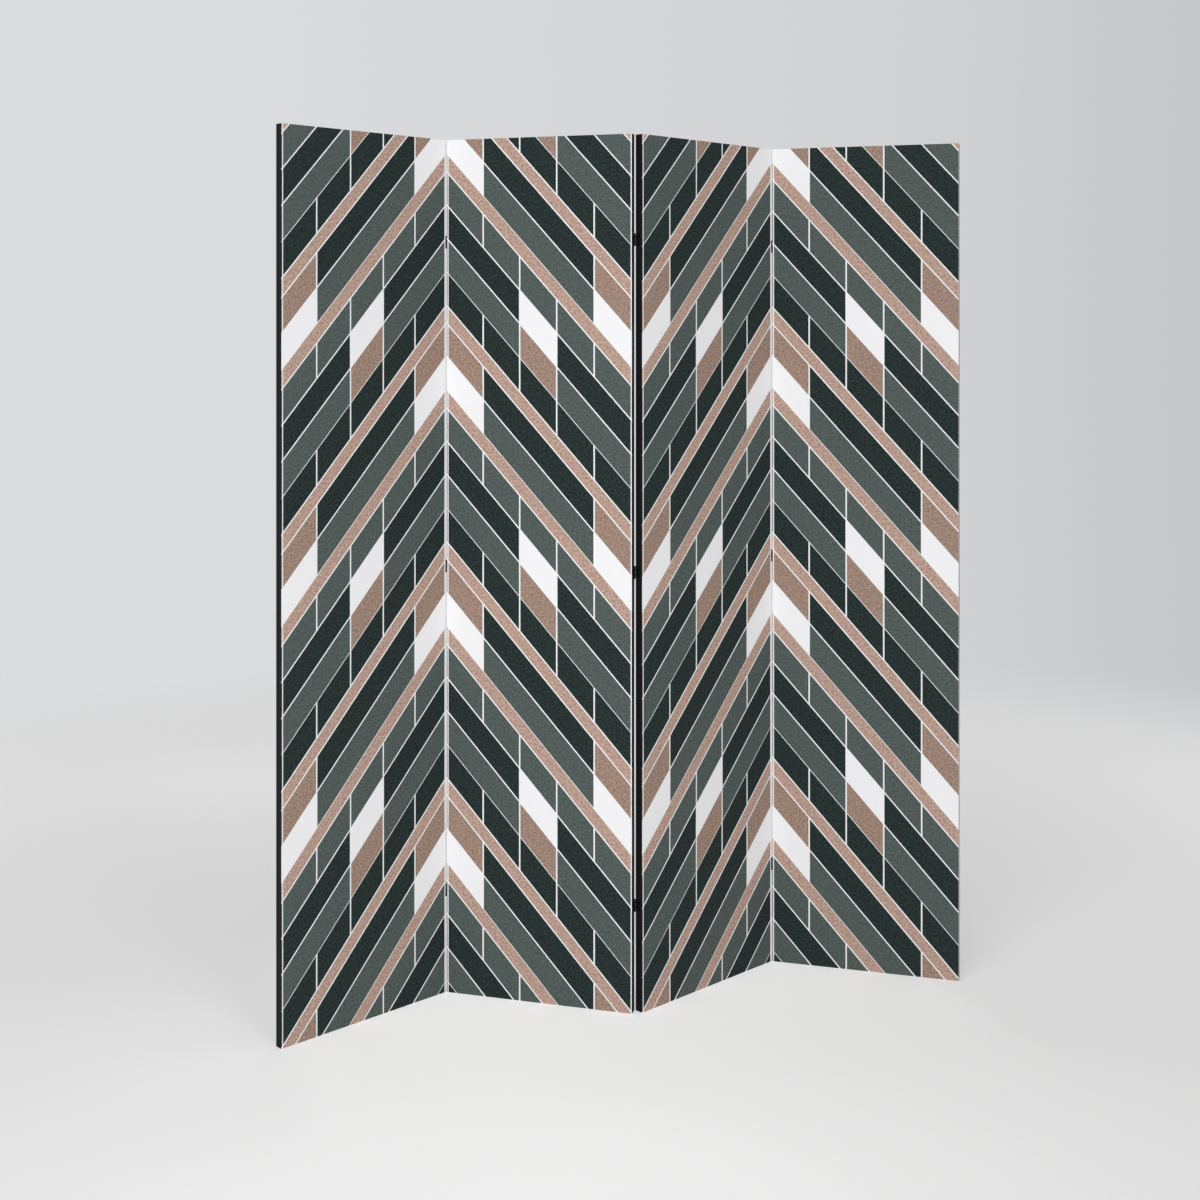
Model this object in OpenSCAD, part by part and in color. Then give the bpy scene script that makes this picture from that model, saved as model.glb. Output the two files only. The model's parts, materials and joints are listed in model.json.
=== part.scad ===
// Folding screen: flat panels hinged edge to edge, standing in a zigzag.
// Each panel is a dowelled timber frame with a printed canvas glued to its front,
// a plain cloth lining glued to its back and black edging strips round its sides.
// +Z is up, +X runs along the zigzag and -Y is the printed side.
// The origin is on the floor, in the middle of the box round the standing screen.

/* [Panels] */
// Number of panels
panel_count = 4; // [2:1:6]
// Width of one panel
panel_w = 405; // [300:5:600]
// Height of one panel
panel_h = 1800; // [1200:10:2200]
// Angle that each joint is turned from flat as the screen stands, in degrees
fold_angle = 60; // [20:1:100]

/* [Timber frame] */
// Thickness of the frame timber, front to back
timber_t = 17.5; // [14:0.5:30]
// Width of the upright stiles
stile_w = 30; // [24:1:60]
// Height of the top and bottom rails
rail_h = 30; // [24:1:80]
// Height of the cross battens
batten_h = 24; // [20:1:60]
// Number of cross battens in a panel
batten_count = 2; // [1:1:4]

/* [Skins and edging] */
// Thickness of the printed canvas
canvas_t = 0.8; // [0.4:0.1:2]
// Thickness of the back lining
lining_t = 0.7; // [0.4:0.1:2]
// Thickness of the edging strips
band_t = 1; // [0.6:0.1:3]

/* [Dowels] */
// Diameter of the beech dowels
dowel_d = 6; // [4:1:8]
// Length of the beech dowels
dowel_l = 30; // [20:1:40]
// Distance between the two dowels at a rail's end
dowel_pitch = 14; // [12:1:20]
// Free depth past each end of a dowel
dowel_end_gap = 0.5; // [0.2:0.1:2]

/* [Hinges] */
// Number of hinges down each joint
hinge_count = 3; // [2:1:5]
// Height of a hinge leaf
hinge_h = 26; // [20:1:60]
// Height of the lowest hinge's middle above the floor, and of the highest below the top
hinge_inset = 216; // [100:1:400]
// Width of the leaf that lies on the panel's edge
leaf_w = 16; // [12:0.5:18]
// Thickness of the leaf metal
leaf_t = 0.7; // [0.5:0.1:2]
// Diameter of the hinge pin
pin_d = 1.4; // [1.2:0.1:5]
// Distance of the pin's axis outside the panel faces
pin_stand_off = 0.5; // [0.4:0.1:4]
// Diameter of the flattened pin ends
pin_head_d = 2.4; // [2:0.1:8]
// Height of the flattened pin ends
pin_head_h = 0.5; // [0.3:0.1:2]
// Number of knuckles that the two leaves share
knuckle_count = 5; // [3:2:7]

/* [Hinge screws] */
// Diameter of the screw shank
screw_d = 2.4; // [2:0.1:4]
// Length of the screw with its head
screw_l = 12; // [8:1:20]
// Diameter of the countersunk head
screw_head_d = 4.4; // [4:0.1:7]
// Length of the pointed tip
screw_tip = 3; // [1:0.5:5]
// Distance between the two screws of a leaf
screw_pitch = 14; // [10:1:40]
// Width of the cross recess
recess_w = 0.6; // [0.4:0.1:1]
// Length of the cross recess
recess_l = 2.4; // [1.5:0.1:4]
// Depth of the cross recess
recess_depth = 0.7; // [0.4:0.1:1.5]

/* [Clearances] */
// Between a dowel and its hole
dowel_clear = 0.05; // [0.02:0.01:0.1]
// Between a screw and its hole
screw_clear = 0.05; // [0.02:0.01:0.1]
// Between the pin and the knuckles that hold it
stake_clear = 0.02; // [0.01:0.01:0.04]
// Between the pin and the knuckles that turn on it
run_clear = 0.05; // [0.03:0.01:0.1]
// Between neighbouring knuckles, along the pin
knuckle_gap = 0.2; // [0.1:0.05:0.5]
// Between a knuckle and the notch in the other leaf
notch_clear = 0.4; // [0.3:0.05:1]
// Between the edging strips where they meet at a panel's corner
band_gap = 0.1; // [0.05:0.05:0.3]

/* [Hidden] */
$fn = 48;
// How far a cut runs past the surface that it opens
past = 1;
PINE = "burlywood";
BEECH = "tan";
PRINT = "darkslategray";
CLOTH = "dimgray";
EDGING = [0.11, 0.11, 0.12];
BLACK_STEEL = [0.16, 0.16, 0.17];

// One panel, seen in its own frame: x along its width, y from its printed face
// to its back, z up from the floor.
panel_t = canvas_t + timber_t + lining_t;
barrel_d = pin_d + 2 * leaf_t;
// The leaves lie on the panel edges, tangent to the barrel, so it sets the gap
panel_gap = barrel_d;
rail_l = panel_w - 2 * (band_t + stile_w);
knuckle_pitch = hinge_h / knuckle_count;
hinge_step = (panel_h - 2 * hinge_inset) / (hinge_count - 1);
hinge_heights = [for (k = [0 : hinge_count - 1]) hinge_inset + k * hinge_step];
batten_heights = [for (k = [1 : batten_count]) k * panel_h / (batten_count + 1)];
rail_heights = [band_t + rail_h / 2, panel_h - band_t - rail_h / 2];

// Each place where a cross piece meets a stile: [height, [dowel offsets]]
cross_joints = concat(
    [for (z = rail_heights) [z, [-dowel_pitch / 2, dowel_pitch / 2]]],
    [for (z = batten_heights) [z, [0]]]
);

// The panels turn one way and the other in turn, and the pins alternate between
// the printed side and the back, so that the screen folds flat like a zigzag.
function turn(v, a) = [v.x * cos(a) - v.y * sin(a), v.x * sin(a) + v.y * cos(a)];
function yaw(i) = (i % 2 == 0 ? 1 : -1) * fold_angle / 2;
function pin_in_front(joint) = joint % 2 == 0;
function joint_at(i, side) = side < 0 ? i - 1 : i;
function has_joint(i, side) = joint_at(i, side) >= 0 && joint_at(i, side) < panel_count - 1;
function pin_x(side) = side < 0 ? -panel_gap / 2 : panel_w + panel_gap / 2;
function pin_y(joint) = pin_in_front(joint) ? -pin_stand_off : panel_t + pin_stand_off;
function pin_at(i, side) = [pin_x(side), pin_y(joint_at(i, side))];
function chain(i) = i == 0 ? [0, 0]
    : chain(i - 1) + turn(pin_at(i - 1, 1), yaw(i - 1)) - turn(pin_at(i, -1), yaw(i));

corners = [for (i = [0 : panel_count - 1], x = [0, panel_w], y = [0, panel_t])
    chain(i) + turn([x, y], yaw(i))];
corner_x = [for (c = corners) c.x];
corner_y = [for (c = corners) c.y];
middle = [min(corner_x) + max(corner_x), min(corner_y) + max(corner_y)] / 2;

PANEL_PIECES = ["left_stile", "right_stile", "top_rail", "bottom_rail", "upper_batten",
    "lower_batten", "dowels", "printed_canvas", "back_lining", "edge_band"];
HINGE_PIECES = ["left_leaves", "right_leaves", "pins", "left_screws", "right_screws"];

// Places

module on_panel(i) {
    at = chain(i) - middle;
    translate([at.x, at.y, 0]) rotate([0, 0, yaw(i)]) children();
}

module flip(wanted, axis) {
    if (wanted) mirror(axis) children();
    else children();
}

// The frame of a hinge pin: its axis is z, and the panel that the pieces belong
// to lies at x < 0 and y > 0.
module at_hinges(i, side) {
    at = pin_at(i, side);
    for (z = hinge_heights)
        translate([at.x, at.y, z])
            flip(side < 0, [1, 0, 0])
                flip(!pin_in_front(joint_at(i, side)), [0, 1, 0])
                    children();
}

// The screws of one leaf, on the middle of the panel's thickness
module at_screws() {
    for (z = [-screw_pitch / 2, screw_pitch / 2])
        translate([leaf_t - panel_gap / 2, pin_stand_off + panel_t / 2, z])
            rotate([0, 90, 0]) children();
}

// Places a dowel's axis along x, with its middle on the line between a stile
// and a cross piece.
module at_dowels(side) {
    x = side < 0 ? band_t + stile_w : panel_w - band_t - stile_w;
    for (j = cross_joints, dz = j[1])
        translate([x, canvas_t + timber_t / 2, j[0] + dz])
            rotate([0, 90, 0]) children();
}

// Holes

module dowel_holes(side) {
    at_dowels(side)
        cylinder(d = dowel_d + 2 * dowel_clear, h = dowel_l + 2 * dowel_end_gap, center = true);
}

module screw_shape(clear, proud) {
    head_r = screw_head_d / 2;
    shank_r = screw_d / 2;
    rotate_extrude() polygon([
        [0, proud], [head_r + clear, proud], [head_r + clear, 0],
        [shank_r + clear, shank_r - head_r], [shank_r + clear, screw_tip - screw_l],
        [0, -screw_l - clear]
    ]);
}

module screw_holes(i, side) {
    if (has_joint(i, side))
        at_hinges(i, side) at_screws() screw_shape(screw_clear, past);
}

// Timber frame

module stile(i, side) {
    x = side < 0 ? band_t : panel_w - band_t - stile_w;
    color(PINE) difference() {
        translate([x, canvas_t, band_t]) cube([stile_w, timber_t, panel_h - 2 * band_t]);
        dowel_holes(side);
        screw_holes(i, side);
    }
}

module cross_piece(z_middle, height) {
    color(PINE) difference() {
        translate([band_t + stile_w, canvas_t, z_middle - height / 2])
            cube([rail_l, timber_t, height]);
        dowel_holes(-1);
        dowel_holes(1);
    }
}

module bottom_rail() { cross_piece(rail_heights[0], rail_h); }

module top_rail() { cross_piece(rail_heights[1], rail_h); }

module lower_batten() { cross_piece(batten_heights[0], batten_h); }

module upper_battens() {
    for (k = [1 : 1 : batten_count - 1]) cross_piece(batten_heights[k], batten_h);
}

module dowels() {
    color(BEECH)
        for (side = [-1, 1])
            at_dowels(side) cylinder(d = dowel_d, h = dowel_l, center = true);
}

// Skins and edging

module printed_canvas() {
    color(PRINT) cube([panel_w, canvas_t, panel_h]);
}

module back_lining() {
    color(CLOTH) translate([0, panel_t - lining_t, 0]) cube([panel_w, lining_t, panel_h]);
}

// The side strips run the full height, and the top and bottom ones butt against them
module edge_band(i) {
    inset = band_t + band_gap;
    color(EDGING) {
        for (side = [-1, 1])
            difference() {
                translate([side < 0 ? 0 : panel_w - band_t, canvas_t, 0])
                    cube([band_t, timber_t, panel_h]);
                screw_holes(i, side);
            }
        for (z = [0, panel_h - band_t])
            translate([inset, canvas_t, z]) cube([panel_w - 2 * inset, timber_t, band_t]);
    }
}

// Hinges

module knuckle_span(k, longer) {
    translate([0, 0, k * knuckle_pitch - hinge_h / 2 - longer / 2])
        linear_extrude(knuckle_pitch + longer) children();
}

// One pressed leaf: a plate on the panel's edge, rolled into every second knuckle
module leaf(first, pin_clear) {
    other = 1 - first;
    notch = barrel_d / 2 + notch_clear;
    difference() {
        union() {
            translate([-panel_gap / 2, 0, (knuckle_gap - hinge_h) / 2])
                cube([leaf_t, pin_stand_off + leaf_w, hinge_h - knuckle_gap]);
            for (k = [first : 2 : knuckle_count - 1])
                knuckle_span(k, -knuckle_gap) circle(d = barrel_d);
        }
        for (k = [other : 2 : knuckle_count - 1])
            knuckle_span(k, knuckle_gap)
                translate([-panel_gap / 2 - past, -past]) square([leaf_t + 2 * past, notch + past]);
        cylinder(d = pin_d + 2 * pin_clear, h = hinge_h + 2 * past, center = true);
        at_screws() screw_shape(screw_clear, past);
    }
}

// The left-hand panel of a joint carries the leaf with the outer knuckles
module left_leaves(joint) {
    color(BLACK_STEEL) at_hinges(joint, 1) leaf(0, stake_clear);
}

module right_leaves(joint) {
    color(BLACK_STEEL) at_hinges(joint + 1, -1) leaf(1, run_clear);
}

module pins(joint) {
    barrel_end = (hinge_h - knuckle_gap) / 2;
    color(BLACK_STEEL) at_hinges(joint, 1) {
        cylinder(d = pin_d, h = 2 * barrel_end, center = true);
        for (z = [-barrel_end - pin_head_h, barrel_end])
            translate([0, 0, z]) cylinder(d = pin_head_d, h = pin_head_h);
    }
}

module screws(i, side) {
    color(BLACK_STEEL) at_hinges(i, side) at_screws() difference() {
        screw_shape(0, 0);
        for (a = [0, 90])
            rotate([0, 0, a])
                translate([-recess_l / 2, -recess_w / 2, -recess_depth])
                    cube([recess_l, recess_w, recess_depth + past]);
    }
}

for (i = [0 : panel_count - 1]) {
    panel = str("panel_", i + 1, "_");
    on_panel(i) stile(i, -1);
    on_panel(i) stile(i, 1);
    on_panel(i) top_rail();
    on_panel(i) bottom_rail();
    on_panel(i) upper_battens();
    on_panel(i) lower_batten();
    on_panel(i) dowels();
    on_panel(i) printed_canvas();
    on_panel(i) back_lining();
    on_panel(i) edge_band(i);
}

for (j = [0 : panel_count - 2]) {
    hinge = str("hinge_", j + 1, "_");
    on_panel(j) left_leaves(j);
    on_panel(j + 1) right_leaves(j);
    on_panel(j) pins(j);
    on_panel(j) screws(j, 1);
    on_panel(j + 1) screws(j + 1, -1);
}
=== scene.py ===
"""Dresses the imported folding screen: printed canvases, back linings, edging, timber and hinges."""

import json
import math
from functools import partial

import bmesh
import bpy
from bpy.props import FloatProperty, FloatVectorProperty, PointerProperty
from bpy.types import Operator, Panel, PropertyGroup
from mathutils import Matrix, Vector


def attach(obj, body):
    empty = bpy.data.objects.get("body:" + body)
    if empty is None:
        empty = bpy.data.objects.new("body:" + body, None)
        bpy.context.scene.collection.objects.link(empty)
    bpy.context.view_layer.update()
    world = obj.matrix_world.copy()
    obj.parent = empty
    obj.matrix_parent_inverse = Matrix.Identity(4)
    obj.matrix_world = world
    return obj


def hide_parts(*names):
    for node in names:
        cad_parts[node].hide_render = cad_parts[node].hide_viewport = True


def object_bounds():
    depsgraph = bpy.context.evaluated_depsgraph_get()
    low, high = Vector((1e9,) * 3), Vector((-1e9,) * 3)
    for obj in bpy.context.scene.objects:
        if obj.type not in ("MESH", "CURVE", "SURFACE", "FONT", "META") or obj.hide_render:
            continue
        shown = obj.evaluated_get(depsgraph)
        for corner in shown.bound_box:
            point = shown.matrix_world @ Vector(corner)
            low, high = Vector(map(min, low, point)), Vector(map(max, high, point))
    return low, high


bl_info = {
    "name": "Folding Screen",
    "version": (1, 0, 0),
    "blender": (4, 5, 0),
    "location": "3D View > Sidebar > Folding Screen",
    "description": "Dresses the panels, edging and hinges of a folding screen",
    "category": "Object",
}

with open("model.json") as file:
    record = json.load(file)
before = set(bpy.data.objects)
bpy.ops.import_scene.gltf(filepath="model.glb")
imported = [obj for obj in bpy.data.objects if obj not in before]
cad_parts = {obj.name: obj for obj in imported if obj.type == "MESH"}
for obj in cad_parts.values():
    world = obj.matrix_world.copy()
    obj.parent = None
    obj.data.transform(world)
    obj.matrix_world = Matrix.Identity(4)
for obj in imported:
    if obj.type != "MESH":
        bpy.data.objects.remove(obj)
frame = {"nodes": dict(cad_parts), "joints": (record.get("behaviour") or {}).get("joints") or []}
CAD_BOX = [list(corner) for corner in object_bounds()]

PANELS = (1, 2, 3, 4)
JOINTS = (1, 2, 3)
# A joint's lower limit is the panels in one plane, so half of it is each panel's turn
HALF_FOLD = math.radians(-frame["joints"][0]["range_deg"][0] / 2)
# A panel's timbers, the cross pieces from the bottom up
UPRIGHTS = ("left_stile", "right_stile")
CROSS_PIECES = ("bottom_rail", "lower_batten", "upper_batten", "top_rail")
MM = 0.001
# The cloths' two maps: one holds metres for the patterns, one fills a square picture
PRINT_MAP, BAKE_MAP = "Print", "OFBake"


def linear(hex_colour):
    """An sRGB hex colour as linear red, green, blue and alpha."""
    values = [int(hex_colour[i : i + 2], 16) / 255 for i in (1, 3, 5)]
    return [v / 12.92 if v <= 0.04045 else ((v + 0.055) / 1.055) ** 2.4 for v in values] + [1]


# Sizes and colours that a user would change


def length(name, description, default):
    """A size in metres."""
    return FloatProperty(
        name=name,
        description=description,
        default=default,
        min=0,
        precision=5,
        subtype="DISTANCE",
        unit="LENGTH",
    )


def point(name, description, default):
    """A place in metres."""
    return FloatVectorProperty(
        name=name, description=description, default=default, subtype="TRANSLATION", unit="LENGTH"
    )


def colour(name, description, hex_colour):
    """A colour, with an sRGB hex value as its default."""
    return FloatVectorProperty(
        name=name,
        description=description,
        default=linear(hex_colour),
        min=0,
        max=1,
        size=4,
        subtype="COLOR",
    )


def power(name, description, watts):
    """The power of a lamp."""
    return FloatProperty(
        name=name, description=description, default=watts, subtype="POWER", unit="POWER"
    )


class PrintSettings(PropertyGroup):
    broad: length("Broad band", "Height of a dark or slate band", 67.5 * MM)
    narrow: length("Narrow band", "Height of a rose band", 34.5 * MM)
    line: length("Line", "Height of the white line between two bands", 3.1 * MM)
    rise: length("Rise", "How far a band climbs over a panel's width", 450 * MM)
    side: length("Side planks", "Width of the planks at a panel's sides", 81 * MM)
    middle: length("Middle planks", "Width of the planks in a panel's middle", 81 * MM)
    border: length("Border", "Width of the white line down a panel's sides", 2.2 * MM)
    margin: length("Margin", "Width of the print outside the border", 1 * MM)
    shift: length("Shift", "How far a print lies to the right of its panel's middle", 0.6 * MM)
    trim: length("Trim", "How much of the last print is cut off at its right end", 2.2 * MM)
    dark: colour("Dark green", "Ink of the dark bands", "#212d2c")
    slate: colour("Slate", "Ink of the slate bands", "#505a57")
    rose: colour("Rose", "Ink of the narrow bands", "#b5998b")
    brown: colour("Brown", "Ink of the brown planks", "#9b8375")
    white: colour("White", "Unprinted ground", "#f1f1f3")


class ClothSettings(PropertyGroup):
    slack: length("Slack", "How far a cloth sinks between the timbers", 0.15 * MM)
    spread: length("Spread", "How far from the timbers a cloth has sunk", 45 * MM)
    roll: length("Rolled edge", "Radius of a cloth's edge", 0.25 * MM)
    hem: length("Hem", "Width of the lining's turned-under edge", 12 * MM)
    hem_step: length("Hem step", "How far the hem stands above the lining", 0.2 * MM)
    grid: length("Grid", "Longest side of a cloth's faces", 30 * MM)
    lining: colour("Lining", "Colour of the back lining", "#38393d")


class HardwareSettings(PropertyGroup):
    edging: colour("Edging", "Colour of the edging strips", "#121315")
    hinge: colour("Hinge", "Paint of the hinges", "#0f0f11")
    screw: colour("Screw", "Blackened steel of the screws", "#2c2c2f")
    pine: colour("Pine", "Pale wood of the frame", "#dcb983")
    pine_grain: colour("Pine grain", "Dark wood of the frame", "#b98d55")
    beech: colour("Beech", "Pale wood of the dowels", "#cfa77b")
    beech_grain: colour("Beech grain", "Dark wood of the dowels", "#bd936a")
    broken_edge: length("Broken edge", "Width of the hinges' broken edges", 0.12 * MM)


class StageSettings(PropertyGroup):
    camera_place: point("Camera", "Where the camera stands", (-0.878, -3.385, 1.387))
    camera_turn: FloatProperty(
        name="Turn",
        description="How far the level camera is turned to the right",
        default=math.radians(13.724),
        subtype="ANGLE",
        unit="ROTATION",
    )
    focal_length: FloatProperty(
        name="Focal length",
        description="Focal length of the lens, in millimetres",
        default=49.715,
        unit="CAMERA",
    )
    drop: FloatProperty(
        name="Drop", description="Downward shift of the lens, in picture widths", default=0.2204
    )
    floor_radius: length("Floor", "Radius of the floor", 6)
    fade_start: length("Fade start", "Where the floor begins to fade, from its middle", 2.4)
    fade_end: length("Fade end", "Where the floor has faded away, from its middle", 4.2)
    # The floor's colour holds painted light: a pool of light round this spot, a ring of painted
    # shade round it, and even paint further off
    painted_light_spot: point("Bright spot", "A bright place on the floor", (-0.2, -0.6, 0))
    painted_shade_ring_radius: length("Ring", "Radius of a darker ring round the bright spot", 1.26)
    far_radius: length("Far", "How far from the bright spot the floor is even", 3)
    floor_near: colour("Floor, near", "Colour of the floor at the bright spot", "#f5f5f5")
    floor_painted_shade_ring: colour("Floor, ring", "Colour of the floor in the ring", "#e6e6e6")
    floor_far: colour("Floor, far", "Colour of the floor where it is even", "#f5f5f5")
    wall_left: colour("Wall, left", "Background on the left", "#dbdcde")
    wall_middle: colour("Wall, middle", "Background right of the middle", "#d1d2d4")
    wall_right: colour("Wall, right", "Background on the right", "#c5c7cb")
    lamp_width: length("Lamp width", "Width of each soft lamp", 2.4)
    lamp_height: length("Lamp height", "Height of each soft lamp", 2)
    left_lamp: power("Left lamp", "Power of the soft lamp on the left", 83)
    left_place: point("Left lamp's place", "Where the left lamp hangs", (-2.5, -3.5, 1.5))
    right_lamp: power("Right lamp", "Power of the soft lamp on the right, further off", 137)
    right_place: point("Right lamp's place", "Where the right lamp hangs", (2, -7, 1.5))
    fill: FloatProperty(
        name="Fill light", description="Strength of the light from all round", default=0.40
    )


SETTINGS = {
    "screen_print": PrintSettings,
    "screen_cloth": ClothSettings,
    "screen_hardware": HardwareSettings,
    "screen_stage": StageSettings,
}


# Materials

# The colours that a Mix node takes and gives, by the numbers of their sockets
COLOUR_A, COLOUR_B, COLOUR_OUT = 6, 7, 2


def add_node(tree, kind, inputs=None, stops=None, **settings):
    """Adds a node. An input is a plain value or the socket it is linked to; stops are a ramp's."""
    node = tree.nodes.new(kind)
    for name, value in settings.items():
        setattr(node, name, value)
    for name, value in (inputs or {}).items():
        if isinstance(value, bpy.types.NodeSocket):
            tree.links.new(value, node.inputs[name])
        else:
            node.inputs[name].default_value = value
    for number, (place, shade) in enumerate(stops or ()):
        elements = node.color_ramp.elements
        if number < 2:
            elements[number].position = place
        else:
            elements.new(place)
        elements[number].color = shade
    return node


def new_material(name):
    """An empty node material and the function that adds nodes to it."""
    material = bpy.data.materials.new(name)
    material.use_nodes = True
    material.node_tree.nodes.clear()
    return material, partial(add_node, material.node_tree)


def close_material(node, base, height, depth, **surface):
    """Gives a material its colour, its relief of depth metres, and its surface's plain numbers."""
    bump = node("ShaderNodeBump", {"Strength": 1.0, "Distance": depth, "Height": height})
    inputs = {"Base Color": base, "Normal": bump.outputs[0]}
    inputs.update({name.replace("_", " "): value for name, value in surface.items()})
    shader = node("ShaderNodeBsdfPrincipled", inputs)
    node("ShaderNodeOutputMaterial", {"Surface": shader.outputs[0]})


def seen_rays(node):
    """1 where the camera, a shiny surface or glass looks on, and 0 where light spreads."""
    path = node("ShaderNodeLightPath")
    seen = path.outputs["Is Camera Ray"]
    for name in ("Is Glossy Ray", "Is Transmission Ray"):
        inputs = {0: seen, 1: path.outputs[name]}
        seen = node("ShaderNodeMath", inputs, operation="MAXIMUM").outputs[0]
    return seen


def plain_weave(node, across, up, pitch):
    """Threads over and under each other, from 0 to 1, in cells of half a pitch."""
    waves = []
    for axis in (across, up):
        turns = node("ShaderNodeMath", {0: axis, 1: math.tau / pitch}, operation="MULTIPLY")
        waves.append(node("ShaderNodeMath", {0: turns.outputs[0]}, operation="SINE").outputs[0])
    crossed = node("ShaderNodeMath", dict(enumerate(waves)), operation="MULTIPLY").outputs[0]
    inputs = {0: crossed, 1: 0.5, 2: 0.5}
    return node("ShaderNodeMath", inputs, operation="MULTIPLY_ADD").outputs[0]


def varied(node, base, amounts):
    """A colour made lighter and darker by (socket from 0 to 1, share) pairs."""
    factor = 1.0
    for socket, share in amounts:
        part = node("ShaderNodeMath", {0: socket, 1: 0.5}, operation="SUBTRACT").outputs[0]
        inputs = {0: part, 1: share, 2: factor}
        factor = node("ShaderNodeMath", inputs, operation="MULTIPLY_ADD").outputs[0]
    grey = node("ShaderNodeCombineXYZ", {0: factor, 1: factor, 2: factor}).outputs[0]
    inputs = {"Factor": 1.0, COLOUR_A: base, COLOUR_B: grey}
    shaded = node("ShaderNodeMix", inputs, data_type="RGBA", blend_type="MULTIPLY")
    return shaded.outputs[COLOUR_OUT]


# The bands of one repeat of the print, from the bottom up, and the bands whose planks change
# colour in a panel's middle and at its sides
REPEAT = ("dark", "slate", "dark", "slate", "rose", "slate", "dark", "rose")
MIDDLE_PLANKS = {1: "brown", 2: "white"}
SIDE_PLANKS = {5: "white", 6: "brown"}
# Bands in which a white line parts two planks of one colour
SPLIT_BANDS = (0, 3)
# What tells the inks apart, in linear light: the unprinted ground is paler than INK_GREY, the
# dark green deeper than DEEP_GREY, and a warm ink's red lies more than WARM_RED above its blue
INK_GREY = 0.7
DEEP_GREY = 0.06
WARM_RED = 0.04


def band_stops(inks, planks):
    """(height of one repeat, ramp stops of its bands). Alpha marks the bands that lines part."""
    stops, height = [], 0.0
    for number, band in enumerate(REPEAT):
        parted = float(number in planks or number in SPLIT_BANDS)
        stops.append((height, [*inks.white[:3], parted]))
        height += inks.line
        stops.append((height, [*getattr(inks, planks.get(number, band))[:3], parted]))
        height += inks.narrow if band == "rose" else inks.broad
    return height, [(place / height, shade) for place, shade in stops]


def planked_print(node, inks, width, across, up):
    """The printed colours: climbing bands, parted into planks by upright white lines."""
    repeat, _ = band_stops(inks, {})
    inputs = {0: across, 1: -inks.rise / width, 2: up}
    climbed = node("ShaderNodeMath", inputs, operation="MULTIPLY_ADD").outputs[0]
    repeats = node("ShaderNodeMath", {0: climbed, 1: repeat}, operation="DIVIDE").outputs[0]
    phase = node("ShaderNodeMath", {0: repeats}, operation="FRACT").outputs[0]
    from_middle = node("ShaderNodeMath", {0: across, 1: width / 2}, operation="SUBTRACT")
    off = node("ShaderNodeMath", {0: from_middle.outputs[0]}, operation="ABSOLUTE").outputs[0]

    ramps = []
    for planks in ({}, MIDDLE_PLANKS, SIDE_PLANKS):
        ramp = node("ShaderNodeValToRGB", {0: phase}, stops=band_stops(inks, planks)[1])
        ramp.color_ramp.interpolation = "CONSTANT"
        ramps.append(ramp)
    base = ramps[0].outputs[0]
    zones = (
        (ramps[1], "LESS_THAN", inks.middle / 2),
        (ramps[2], "GREATER_THAN", width / 2 - inks.side),
    )
    for ramp, test, edge in zones:
        inside = node("ShaderNodeMath", {0: off, 1: edge}, operation=test).outputs[0]
        inputs = {"Factor": inside, COLOUR_A: base, COLOUR_B: ramp.outputs[0]}
        base = node("ShaderNodeMix", inputs, data_type="RGBA").outputs[COLOUR_OUT]
        inputs = {0: off, 1: edge, 2: inks.line / 2}
        on_line = node("ShaderNodeMath", inputs, operation="COMPARE").outputs[0]
        inputs = {0: on_line, 1: ramp.outputs[1]}
        drawn = node("ShaderNodeMath", inputs, operation="MULTIPLY").outputs[0]
        inputs = {"Factor": drawn, COLOUR_A: base, COLOUR_B: inks.white}
        base = node("ShaderNodeMix", inputs, data_type="RGBA").outputs[COLOUR_OUT]
    inputs = {0: off, 1: (width - inks.border) / 2 - inks.margin, 2: inks.border / 2}
    on_border = node("ShaderNodeMath", inputs, operation="COMPARE").outputs[0]
    inputs = {"Factor": on_border, COLOUR_A: base, COLOUR_B: inks.white}
    return node("ShaderNodeMix", inputs, data_type="RGBA").outputs[COLOUR_OUT]


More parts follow.
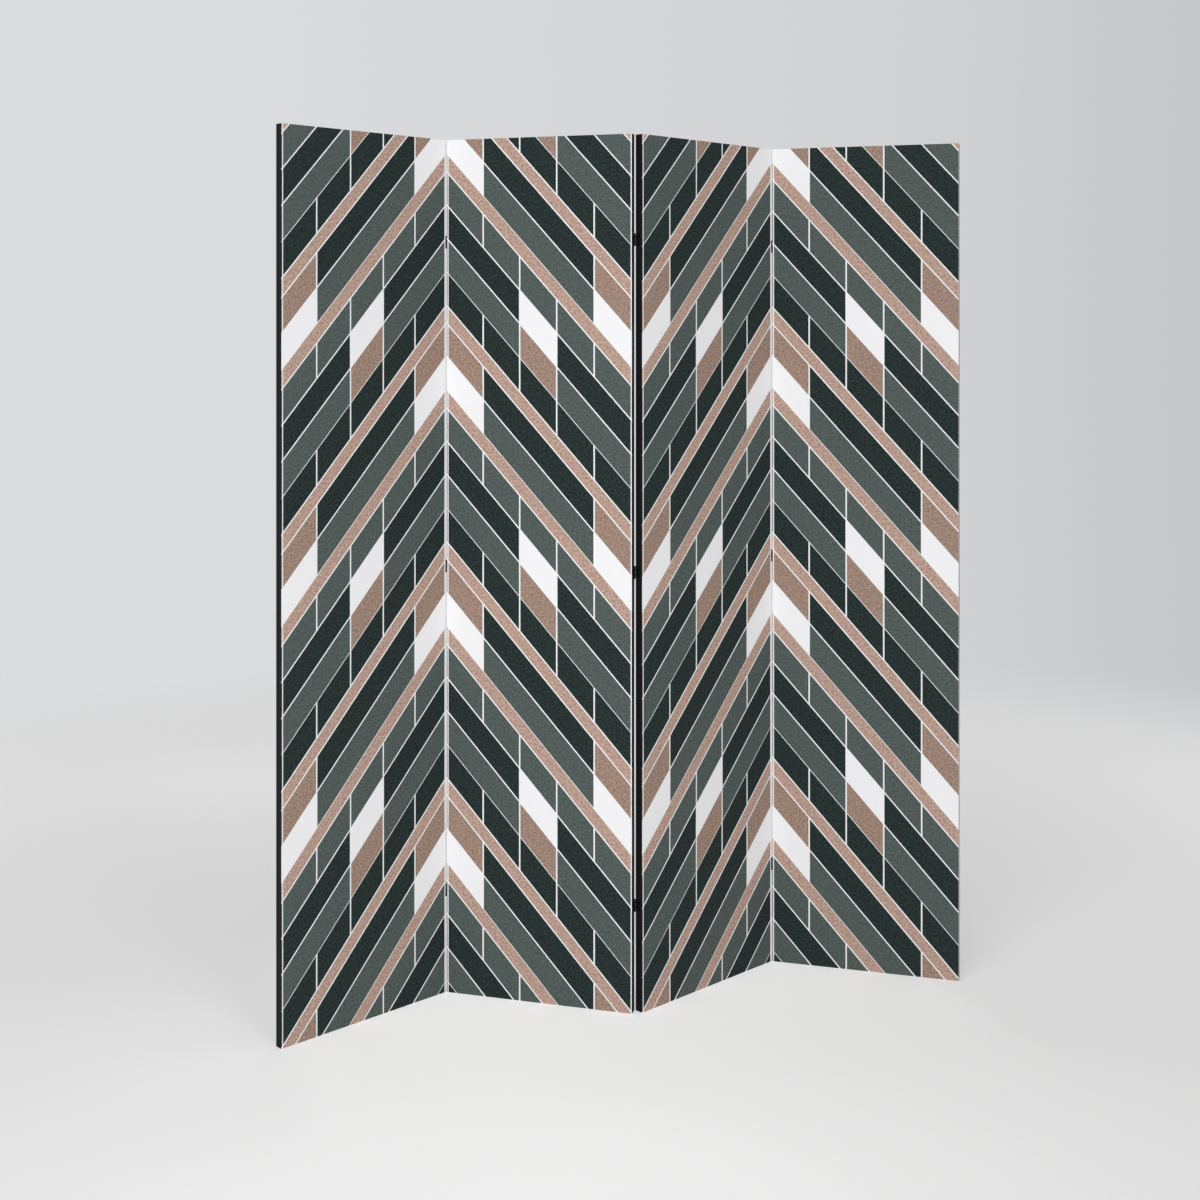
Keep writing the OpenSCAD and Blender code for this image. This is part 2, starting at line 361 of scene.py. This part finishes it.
def printed_canvas_material(inks, width):
    """Plain-woven canvas printed with matt ink: flat colours without gloss, broken by threads."""
    material, node = new_material("Printed woven canvas")
    place = node("ShaderNodeUVMap", uv_map=PRINT_MAP).outputs[0]
    axes = node("ShaderNodeSeparateXYZ", {0: place})
    across, up = axes.outputs[0], axes.outputs[1]
    base = planked_print(node, inks, width, across, up)

    grey = node("ShaderNodeRGBToBW", {0: base}).outputs[0]
    inked = node("ShaderNodeMath", {0: grey, 1: INK_GREY}, operation="LESS_THAN").outputs[0]
    deep = node("ShaderNodeMath", {0: grey, 1: DEEP_GREY}, operation="LESS_THAN").outputs[0]
    parts = node("ShaderNodeSeparateColor", {0: base})
    inputs = {0: parts.outputs[0], 1: parts.outputs[2]}
    warmth = node("ShaderNodeMath", inputs, operation="SUBTRACT").outputs[0]
    warm = node("ShaderNodeMath", {0: warmth, 1: WARM_RED}, operation="GREATER_THAN").outputs[0]

    # Canvas threads lie about 0.5 mm apart; drawn 4 mm apart, so that they show from a step away
    raised = plain_weave(node, across, up, 4 * MM)
    inputs = {"Vector": place, "Scale": 1 / (5 * MM), "Detail": 3.0, "Roughness": 0.7}
    slubs = node("ShaderNodeTexNoise", inputs).outputs[0]
    # The warm inks lie in streaks along the threads, about 1 mm long; drawn 6 mm by 2.5 mm
    scale = (1 / (6 * MM), 1 / (2.5 * MM), 1)
    wefts = node("ShaderNodeMapping", {"Vector": place, "Scale": scale}).outputs[0]
    inputs = {"Vector": wefts, "Scale": 1.0, "Detail": 2.0, "Roughness": 0.6}
    streaks = node("ShaderNodeTexNoise", inputs).outputs[0]
    # How strongly each pattern shows, and where: the unprinted ground keeps its even colour
    patterns = (
        (slubs, inked, 1.9),
        (slubs, deep, 2.2),
        (raised, inked, 0.05),
        (streaks, warm, 1.25),
    )
    amounts = []
    for pattern, mask, share in patterns:
        # Where the mask is 0 the pattern stays at its middle and changes nothing
        middled = node("ShaderNodeMath", {0: pattern, 1: 0.5}, operation="SUBTRACT").outputs[0]
        inputs = {0: middled, 1: mask, 2: 0.5}
        masked = node("ShaderNodeMath", inputs, operation="MULTIPLY_ADD").outputs[0]
        amounts.append((masked, share))
    base = varied(node, base, amounts)
    inputs = {0: slubs, 1: raised}
    relief = node("ShaderNodeMath", inputs, operation="ADD").outputs[0]
    close_material(
        node, base, relief, 0.08 * MM,
        Roughness=0.86, IOR=1.5, Specular_IOR_Level=0.2, Sheen_Weight=0.02, Sheen_Roughness=0.5,
    )
    return material


def lining_material(cloth):
    """Plain-woven polyester lining: dull charcoal with the threads just showing."""
    material, node = new_material("Woven polyester lining")
    place = node("ShaderNodeUVMap", uv_map=PRINT_MAP).outputs[0]
    axes = node("ShaderNodeSeparateXYZ", {0: place})
    # Lining threads lie about 0.3 mm apart; drawn 3 mm apart, so that they show
    raised = plain_weave(node, axes.outputs[0], axes.outputs[1], 3 * MM)
    inputs = {"Vector": place, "Scale": 1 / (4 * MM), "Detail": 3.0, "Roughness": 0.6}
    slubs = node("ShaderNodeTexNoise", inputs).outputs[0]
    inputs = {"Vector": place, "Scale": 1 / (180 * MM), "Detail": 2.0}
    dust = node("ShaderNodeTexNoise", inputs).outputs[0]
    base = varied(node, cloth.lining, ((slubs, 0.7), (raised, 0.12), (dust, 0.25)))
    inputs = {0: slubs, 1: raised}
    relief = node("ShaderNodeMath", inputs, operation="ADD").outputs[0]
    close_material(
        node, base, relief, 0.08 * MM,
        Roughness=0.92, IOR=1.5, Specular_IOR_Level=0.25, Sheen_Weight=0.15, Sheen_Roughness=0.5,
    )
    return material


def edging_material(hardware):
    """Extruded ABS edging: dull black that hardly shines, with faint lines along the strip."""
    material, node = new_material("Extruded ABS edging")
    place = node("ShaderNodeTexCoord").outputs["Object"]
    # Die lines 0.4 mm apart, drawn 3 mm apart, run up the strips
    scale = (1 / (3 * MM), 1 / (3 * MM), 1 / (120 * MM))
    lines = node("ShaderNodeMapping", {"Vector": place, "Scale": scale}).outputs[0]
    inputs = {"Vector": lines, "Scale": 1.0, "Detail": 2.0}
    drawn = node("ShaderNodeTexNoise", inputs).outputs[0]
    inputs = {"Vector": place, "Scale": 1 / (2 * MM), "Detail": 2.0}
    grain = node("ShaderNodeTexNoise", inputs).outputs[0]
    base = varied(node, hardware.edging, ((drawn, 0.35), (grain, 0.35)))
    close_material(
        node, base, drawn, 0.03 * MM, Roughness=0.7, IOR=1.53, Specular_IOR_Level=0.15
    )
    return material


def hinge_material(hardware):
    """Pressed steel, stove-painted: satin black with slight orange peel."""
    material, node = new_material("Black-painted pressed steel")
    place = node("ShaderNodeTexCoord").outputs["Object"]
    inputs = {"Vector": place, "Scale": 1 / (1 * MM), "Detail": 1.0}
    peel = node("ShaderNodeTexNoise", inputs).outputs[0]
    base = varied(node, hardware.hinge, ((peel, 0.3),))
    close_material(
        node, base, peel, 0.02 * MM, Roughness=0.42, IOR=1.5, Specular_IOR_Level=0.35
    )
    return material


def screw_material(hardware):
    """Blackened steel: dark metal with a soft, slightly uneven shine."""
    material, node = new_material("Blackened steel")
    place = node("ShaderNodeTexCoord").outputs["Object"]
    inputs = {"Vector": place, "Scale": 1 / (0.6 * MM), "Detail": 2.0}
    oxide = node("ShaderNodeTexNoise", inputs).outputs[0]
    base = varied(node, hardware.screw, ((oxide, 0.5),))
    close_material(node, base, oxide, 0.01 * MM, Metallic=1.0, Roughness=0.42)
    return material


def timber_material(name, pale, dark, turn, grain_width):
    """Planed softwood or turned hardwood: pale wood with darker grain along the piece."""
    material, node = new_material(name)
    place = node("ShaderNodeTexCoord").outputs["Object"]
    turned = node("ShaderNodeMapping", {"Vector": place, "Rotation": turn}).outputs[0]
    # The grain runs along Z here
    grain_length = 25 * grain_width
    scale = (1 / grain_width, 1 / grain_width, 1 / grain_length)
    stretched = node("ShaderNodeMapping", {"Vector": turned, "Scale": scale}).outputs[0]
    inputs = {"Vector": stretched, "Scale": 1.0, "Detail": 3.0, "Distortion": 0.6}
    grain = node("ShaderNodeTexNoise", inputs).outputs[0]
    # Most of the noise lies between these two
    stops = ((0.38, pale), (0.62, dark))
    base = node("ShaderNodeValToRGB", {0: grain}, stops=stops).outputs[0]
    close_material(node, base, grain, 0.05 * MM, Roughness=0.6, IOR=1.55)
    return material


def near_box(node, place, middle, half, reach, stretch=(1, 1, 1)):
    """1 over a box on the floor and less further off, down to 0 at reach past its edge. Distances
    along each axis count as stretch times as long."""
    moved = node("ShaderNodeVectorMath", {0: place, 1: middle}, operation="SUBTRACT")
    aside = node("ShaderNodeVectorMath", {0: moved.outputs[0]}, operation="ABSOLUTE")
    past = node("ShaderNodeVectorMath", {0: aside.outputs[0], 1: half}, operation="SUBTRACT")
    inputs = {0: past.outputs[0], 1: (0, 0, 0)}
    outside = node("ShaderNodeVectorMath", inputs, operation="MAXIMUM").outputs[0]
    inputs = {0: outside, 1: stretch}
    stretched = node("ShaderNodeVectorMath", inputs, operation="MULTIPLY").outputs[0]
    away = node("ShaderNodeVectorMath", {0: stretched}, operation="LENGTH").outputs[1]
    inputs = {"Value": away, "From Max": reach, "To Min": 1.0, "To Max": 0.0}
    return node("ShaderNodeMapRange", inputs).outputs[0]


def floor_material(stage):
    """Matt painted floor without shine; painted light makes it brightest in front of the screen."""
    material, node = new_material("Matt painted floor")
    place = node("ShaderNodeTexCoord").outputs["Object"]
    inputs = {0: place, 1: stage.painted_light_spot}
    from_spot = node("ShaderNodeVectorMath", inputs, operation="DISTANCE").outputs[1]
    inputs = {"Value": from_spot, "From Max": stage.far_radius}
    share = node("ShaderNodeMapRange", inputs).outputs[0]
    # Painted light and shade: the paint is pale in a pool round the spot, darker in a ring of
    # painted shade, and pale again further off
    ring = stage.painted_shade_ring_radius / stage.far_radius
    stops = ((0.0, stage.floor_near), (ring, stage.floor_painted_shade_ring), (1.0, stage.floor_far))
    paint = node("ShaderNodeValToRGB", {0: share}, stops=stops)
    paint.color_ramp.interpolation = "EASE"
    matt = node("ShaderNodeBsdfDiffuse", {"Color": paint.outputs[0]}).outputs[0]

    # Painted light: the camera sees the floor glow with a third of its paint's colour, so that
    # shadows stay pale, and with a little more painted glow behind the screen and at the panels'
    # feet, over the shade there
    own = 0.33
    painted_light_behind = near_box(node, place, middle=(0.1, 1.0, 0), half=(0.85, 0.8, 0), reach=0.6)
    painted_light_at_feet = near_box(
        node, place, middle=(0, 0.09, 0), half=(0.64, 0, 0), reach=0.9, stretch=(6, 1, 1)
    )
    steep_painted_light_at_feet = node("ShaderNodeMath", {0: painted_light_at_feet, 1: 3.0}, operation="POWER").outputs[0]
    for area, more in ((painted_light_behind, 0.045), (steep_painted_light_at_feet, 0.175)):
        inputs = {0: area, 1: more, 2: own}
        own = node("ShaderNodeMath", inputs, operation="MULTIPLY_ADD").outputs[0]
    # A painted glow, seen by the camera and in reflections only
    painted_glow_strength = node("ShaderNodeMath", {0: seen_rays(node), 1: own}, operation="MULTIPLY")
    inputs = {"Color": paint.outputs[0], "Strength": painted_glow_strength.outputs[0]}
    painted_glow = node("ShaderNodeEmission", inputs).outputs[0]
    lit = node("ShaderNodeAddShader", {0: matt, 1: painted_glow}).outputs[0]

    off = node("ShaderNodeVectorMath", {0: place}, operation="LENGTH").outputs[1]
    inputs = {"Value": off, "From Min": stage.fade_start, "From Max": stage.fade_end}
    gone = node("ShaderNodeMapRange", inputs, interpolation_type="SMOOTHERSTEP").outputs[0]
    clear = node("ShaderNodeBsdfTransparent").outputs[0]
    faded = node("ShaderNodeMixShader", {0: gone, 1: lit, 2: clear}).outputs[0]
    node("ShaderNodeOutputMaterial", {"Surface": faded})
    return material


# Shapes

# The upright strip of the square picture that each side of a cloth fills: the place of its left
# edge and its width, as shares of the picture's width
BAKE_STRIPS = {
    "outer": (0, 0.94),
    "inner": (0.945, 0.02),
    "left": (0.965, 0.008),
    "right": (0.975, 0.008),
    "bottom": (0.985, 0.006),
    "top": (0.993, 0.006),
}


def yaw(panel):
    """How far a panel is turned from the row's X axis."""
    return HALF_FOLD if panel % 2 else -HALF_FOLD


def cad_node(name):
    """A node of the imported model."""
    if name not in frame["nodes"]:
        raise RuntimeError(f"the packed model has no node {name}")
    return frame["nodes"][name]


def placed(name, panel):
    """(lowest corner, highest corner) of a CAD node along its panel's own axes."""
    back = Matrix.Rotation(-yaw(panel), 3, "Z")
    points = [back @ vertex.co for vertex in cad_node(name).data.vertices]
    return (
        Vector([min(p[i] for p in points) for i in range(3)]),
        Vector([max(p[i] for p in points) for i in range(3)]),
    )


def stations(stops, step):
    """The stops in order, with more between them so that none lie further apart than step."""
    places = []
    for a, b in zip(stops, stops[1:]):
        count = max(1, math.ceil((b - a) / step))
        places += [a + (b - a) * i / count for i in range(count)]
    return [*places, stops[-1]]


def ease(distance, over):
    """0 before 0, 1 past over, and smooth between."""
    t = min(max(distance / over, 0), 1)
    return t * t * (3 - 2 * t)


def bays(panel, corner):
    """The openings between a panel's timbers, from corner: (left, right), [(bottom, top), ...]."""
    boxes = {p: placed(f"panel_{panel}_{p}", panel) for p in (*UPRIGHTS, *CROSS_PIECES)}
    sides = (
        boxes["left_stile"][1].x - corner.x,
        boxes["right_stile"][0].x - corner.x,
    )
    ends = [(boxes[a][1].z, boxes[b][0].z) for a, b in zip(CROSS_PIECES, CROSS_PIECES[1:])]
    return sides, ends


def add_sheet(mesh, size, openings, cloth, faces_back):
    """Adds a closed sheet: rolled edges, a hem if it faces back, slack in the openings. Its edges
    are of the second material."""
    width, thick, height = size
    (left, right), ends = openings
    hem = cloth.hem if faces_back else 0
    roll = cloth.roll

    def lines(extent, *marks):
        """Where the grid's lines lie, with more of them at the edges and the hem."""
        edge = [0, roll, 2 * roll, *([hem, hem + 2 * roll] if hem else [])]
        return stations(sorted({*edge, *marks, *(extent - e for e in edge)}), cloth.grid)

    def sink(x, z):
        """How far the cloth sinks between the timbers."""
        from_sides = ease(x - left, cloth.spread) * ease(right - x, cloth.spread)
        return cloth.slack * from_sides * max(
            ease(z - a, cloth.spread) * ease(b - z, cloth.spread) for a, b in ends
        )

    def outside(x, z):
        """How deep the outer face lies, from the CAD skin's outer face."""
        margin = min(x, z, width - x, height - z)
        depth = sink(x, z) + roll * (1 - ease(margin, roll))
        if hem:
            depth += cloth.hem_step * ease(margin - hem, 2 * roll)
        return depth

    def inside(x, z):
        """How deep the inner face lies, from the same."""
        return sink(x, z) + thick

    xs = lines(width, left, right)
    zs = lines(height, *(z for bay in ends for z in bay))
    sides = []
    for depth_at in (outside, inside):
        rows = []
        for z in zs:
            depths = [depth_at(x, z) for x in xs]
            ys = [thick - depth if faces_back else depth for depth in depths]
            rows.append([mesh.verts.new((x, y, z)) for x, y in zip(xs, ys)])
        sides.append(rows)

    outer, inner = sides
    top, last = len(zs) - 1, len(xs) - 1
    for j in range(top):
        for i in range(last):
            for rows in sides:
                ring = [rows[j][i], rows[j][i + 1], rows[j + 1][i + 1], rows[j + 1][i]]
                face = mesh.faces.new(ring if (rows is outer) != faces_back else ring[::-1])
                face.smooth = True
    border = [(0, i) for i in range(last)] + [(j, last) for j in range(top)]
    border += [(top, i) for i in range(last, 0, -1)] + [(j, 0) for j in range(top, 0, -1)]
    for (j, i), (k, h) in zip(border, border[1:] + border[:1]):
        ring = [outer[j][i], inner[j][i], inner[k][h], outer[k][h]]
        mesh.faces.new(ring if not faces_back else ring[::-1]).material_index = 1


def side_of(normal, faces_back):
    """The side of a cloth, as in BAKE_STRIPS, to which a face belongs."""
    if abs(normal.y) > 0.5:
        return "outer" if (normal.y > 0) == faces_back else "inner"
    if abs(normal.x) > 0.5:
        return "left" if normal.x < 0 else "right"
    return "bottom" if normal.z < 0 else "top"


def lay_maps(mesh, maps, size, faces_back, mirrored, shift, trim):
    """Lays the two maps over a sheet. The print's lies shift further right, and trim of it is
    cut off at the right end."""
    width, thick, height = size
    print_map, bake_map = maps
    mesh.normal_update()
    for face in mesh.faces:
        side = side_of(face.normal, faces_back)
        start, share = BAKE_STRIPS[side]
        for loop in face.loops:
            x, y, z = loop.vert.co
            along = width - x if mirrored else x
            moved = shift + trim * x / width
            loop[print_map].uv = (along + (moved if mirrored else -moved), z)
            across = along / width if side in ("outer", "inner") else y / thick
            up = along / width if side in ("bottom", "top") else z / height
            loop[bake_map].uv = (start + share * across, up)


def cloth_piece(name, panel, node_name, faces_back, cloth, materials, shift=0, trim=0):
    """A sheet in the place of a CAD skin, on whose panel it rides. Its first material is on the
    broad faces and its second on the edges. shift and trim are those of its map."""
    low, high = placed(node_name, panel)
    size = high - low
    mesh = bmesh.new()
    maps = [mesh.loops.layers.uv.new(map_name) for map_name in (PRINT_MAP, BAKE_MAP)]
    add_sheet(mesh, size, bays(panel, low), cloth, faces_back)
    lay_maps(mesh, maps, size, faces_back, panel % 2 == 0, shift, trim)
    data = bpy.data.meshes.new(name)
    mesh.to_mesh(data)
    mesh.free()
    data.uv_layers[PRINT_MAP].active_render = True
    for material in materials:
        data.materials.append(material)
    piece = bpy.data.objects.new(name, data)
    bpy.context.scene.collection.objects.link(piece)
    piece.matrix_world = Matrix.Rotation(yaw(panel), 4, "Z") @ Matrix.Translation(low)
    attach(piece, f"panel_{panel}")
    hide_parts(node_name)
    return piece


def dress(names, material):
    """Gives CAD nodes a material in place of their own."""
    for name in names:
        data = cad_node(name).data
        data.materials.clear()
        data.materials.append(material)


def soften_edges(names, width):
    """Breaks the sharp edges of CAD nodes, as paint and tools leave them."""
    for name in names:
        node = cad_node(name)
        node.modifiers.new("Weld", "WELD").merge_threshold = 0.001 * MM
        bevel = node.modifiers.new("Broken edges", "BEVEL")
        bevel.width, bevel.segments = width, 2
        bevel.limit_method, bevel.angle_limit = "ANGLE", math.radians(40)


# Operators


class FOLDING_SCREEN_OT_printed_canvases(Operator):
    """Stretches a printed canvas over the front of each panel"""

    bl_idname = "folding_screen.printed_canvases"
    bl_label = "Printed canvases"

    def execute(self, context):
        inks = context.scene.screen_print
        cloth = context.scene.screen_cloth
        low, high = placed("panel_1_printed_canvas", 1)
        front = printed_canvas_material(inks, high.x - low.x)
        # The rim of a canvas is as black as the edging under it
        rim = edging_material(context.scene.screen_hardware)
        for panel in PANELS:
            node_name = f"panel_{panel}_printed_canvas"
            name, sides = f"printed_canvas_{panel}", (front, rim)
            trim = inks.trim if panel == PANELS[-1] else 0
            piece = cloth_piece(name, panel, node_name, False, cloth, sides, inks.shift, trim)
        return {"FINISHED"}


class FOLDING_SCREEN_OT_back_linings(Operator):
    """Covers the back of each panel with a hemmed lining"""

    bl_idname = "folding_screen.back_linings"
    bl_label = "Back linings"

    def execute(self, context):
        cloth = context.scene.screen_cloth
        lining = lining_material(cloth)
        for panel in PANELS:
            node_name = f"panel_{panel}_back_lining"
            name, sides = f"back_lining_{panel}", (lining, lining)
            piece = cloth_piece(name, panel, node_name, True, cloth, sides)
        return {"FINISHED"}


class FOLDING_SCREEN_OT_edging(Operator):
    """Finishes the edging strips round the panels' sides"""

    bl_idname = "folding_screen.edging"
    bl_label = "Edging"

    def execute(self, context):
        names = [f"panel_{panel}_edge_band" for panel in PANELS]
        dress(names, edging_material(context.scene.screen_hardware))
        return {"FINISHED"}


class FOLDING_SCREEN_OT_timber(Operator):
    """Finishes the pine frames and their beech dowels"""

    bl_idname = "folding_screen.timber"
    bl_label = "Timber"

    def execute(self, context):
        hardware = context.scene.screen_hardware
        pine = hardware.pine, hardware.pine_grain
        beech = hardware.beech, hardware.beech_grain
        upright = timber_material("Planed pine, upright", *pine, (0, 0, 0), 3 * MM)
        for panel in PANELS:
            dress([f"panel_{panel}_{p}" for p in UPRIGHTS], upright)
        for turn, panels in ((HALF_FOLD, (1, 3)), (-HALF_FOLD, (2, 4))):
            # The panel's turn comes off first, and then its length is stood up on Z
            level = Matrix.Rotation(math.pi / 2, 3, "Y") @ Matrix.Rotation(-turn, 3, "Z")
            name = f"Planed pine, level, {panels[0]} and {panels[1]}"
            cross = timber_material(name, *pine, level.to_euler(), 3 * MM)
            name = f"Turned beech, {panels[0]} and {panels[1]}"
            dowel = timber_material(name, *beech, level.to_euler(), 1 * MM)
            for panel in panels:
                dress([f"panel_{panel}_{p}" for p in CROSS_PIECES], cross)
                dress([f"panel_{panel}_dowels"], dowel)
        return {"FINISHED"}


class FOLDING_SCREEN_OT_hinges(Operator):
    """Finishes the hinges between the panels and their screws"""

    bl_idname = "folding_screen.hinges"
    bl_label = "Hinges"

    def execute(self, context):
        hardware = context.scene.screen_hardware
        paint, blackened = hinge_material(hardware), screw_material(hardware)
        for joint in JOINTS:
            leaves = [f"hinge_{joint}_{part}" for part in ("left_leaves", "right_leaves", "pins")]
            screws = [f"hinge_{joint}_{part}" for part in ("left_screws", "right_screws")]
            dress(leaves, paint)
            dress(screws, blackened)
            soften_edges(leaves, hardware.broken_edge)
        return {"FINISHED"}


class FOLDING_SCREEN_OT_stage(Operator):
    """Sets up the floor, the camera and the light"""

    bl_idname = "folding_screen.stage"
    bl_label = "Stage"

    def execute(self, context):
        scene = context.scene
        stage = scene.screen_stage
        self.add_camera(scene, stage)
        self.add_floor(scene, stage)
        self.add_world(scene, stage)
        self.add_lamp(scene, stage, "Left lamp", stage.left_lamp, stage.left_place)
        self.add_lamp(scene, stage, "Right lamp", stage.right_lamp, stage.right_place)
        scene.view_settings.view_transform = "Standard"
        return {"FINISHED"}

    def add_camera(self, scene, stage):
        """A level camera whose lens is shifted down"""
        data = bpy.data.cameras.new("Camera")
        data.lens, data.shift_y = stage.focal_length, -stage.drop
        camera = bpy.data.objects.new("Camera", data)
        scene.collection.objects.link(camera)
        camera.location = stage.camera_place
        camera.rotation_euler = (math.pi / 2, 0, -stage.camera_turn)
        scene.camera = camera

    def add_floor(self, scene, stage):
        """A round floor whose rim fades into the background"""
        mesh = bmesh.new()
        bmesh.ops.create_circle(mesh, cap_ends=True, segments=96, radius=stage.floor_radius)
        data = bpy.data.meshes.new("Floor")
        mesh.to_mesh(data)
        mesh.free()
        data.materials.append(floor_material(stage))
        floor = bpy.data.objects.new("Floor", data)
        scene.collection.objects.link(floor)

    def add_world(self, scene, stage):
        """Even light, with a pale background that runs from left to right of the picture"""
        world = bpy.data.worlds.new("Studio")
        world.use_nodes = True
        world.node_tree.nodes.clear()
        scene.world = world
        node = partial(add_node, world.node_tree)
        direction = node("ShaderNodeTexCoord").outputs["Generated"]
        turn = stage.camera_turn
        inputs = {0: direction, 1: (math.cos(turn), -math.sin(turn), 0)}
        sideways = node("ShaderNodeVectorMath", inputs, operation="DOT_PRODUCT").outputs[1]
        # The sine of the angle from the picture's middle to its sides
        edge = 0.34
        inputs = {"Value": sideways, "From Min": -edge, "From Max": edge}
        share = node("ShaderNodeMapRange", inputs).outputs[0]
        # Shares of the picture's width, from the left
        # The background darkens towards the right, as painted shade
        stops = ((0.15, stage.wall_left), (0.75, stage.wall_middle), (1.0, stage.wall_right))
        seen = node("ShaderNodeValToRGB", {0: share}, stops=stops).outputs[0]
        backdrop = node("ShaderNodeBackground", {"Color": seen, "Strength": 1.0}).outputs[0]
        light = node("ShaderNodeBackground", {"Color": (1, 1, 1, 1), "Strength": stage.fill})
        inputs = {0: seen_rays(node), 1: light.outputs[0], 2: backdrop}
        shown = node("ShaderNodeMixShader", inputs)
        node("ShaderNodeOutputWorld", {"Surface": shown.outputs[0]})

    def add_lamp(self, scene, stage, name, watts, place):
        """A large soft lamp that faces the middle of the screen"""
        data = bpy.data.lights.new(name, "AREA")
        data.shape = "RECTANGLE"
        data.size, data.size_y = stage.lamp_width, stage.lamp_height
        data.energy = watts
        lamp = bpy.data.objects.new(name, data)
        scene.collection.objects.link(lamp)
        lamp.visible_camera = False
        lamp.location = place
        screen_top = CAD_BOX[1][2]
        aim = Vector((0, 0, screen_top / 2)) - lamp.location
        lamp.rotation_euler = aim.to_track_quat("-Z", "Y").to_euler()


OPERATORS = (
    FOLDING_SCREEN_OT_stage,
    FOLDING_SCREEN_OT_printed_canvases,
    FOLDING_SCREEN_OT_back_linings,
    FOLDING_SCREEN_OT_edging,
    FOLDING_SCREEN_OT_timber,
    FOLDING_SCREEN_OT_hinges,
)


class FOLDING_SCREEN_PT_parts(Panel):
    """Lists the pieces and their sizes and colours"""

    bl_idname = "FOLDING_SCREEN_PT_parts"
    bl_label = "Folding Screen"
    bl_space_type = "VIEW_3D"
    bl_region_type = "UI"
    bl_category = "Folding Screen"

    def draw(self, context):
        for operator in OPERATORS:
            self.layout.operator(operator.bl_idname)
        for name, group in SETTINGS.items():
            box = self.layout.box()
            for prop in group.__annotations__:
                box.prop(getattr(context.scene, name), prop)


CLASSES = (*SETTINGS.values(), *OPERATORS, FOLDING_SCREEN_PT_parts)


def register():
    for cls in CLASSES:
        bpy.utils.register_class(cls)
    for name, group in SETTINGS.items():
        setattr(bpy.types.Scene, name, PointerProperty(type=group))


def unregister():
    for name in SETTINGS:
        delattr(bpy.types.Scene, name)
    for cls in reversed(CLASSES):
        bpy.utils.unregister_class(cls)


def main():
    register()
    for operator in OPERATORS:
        group, name = operator.bl_idname.split(".")
        getattr(getattr(bpy.ops, group), name)()


if __name__ == "__main__":
    main()
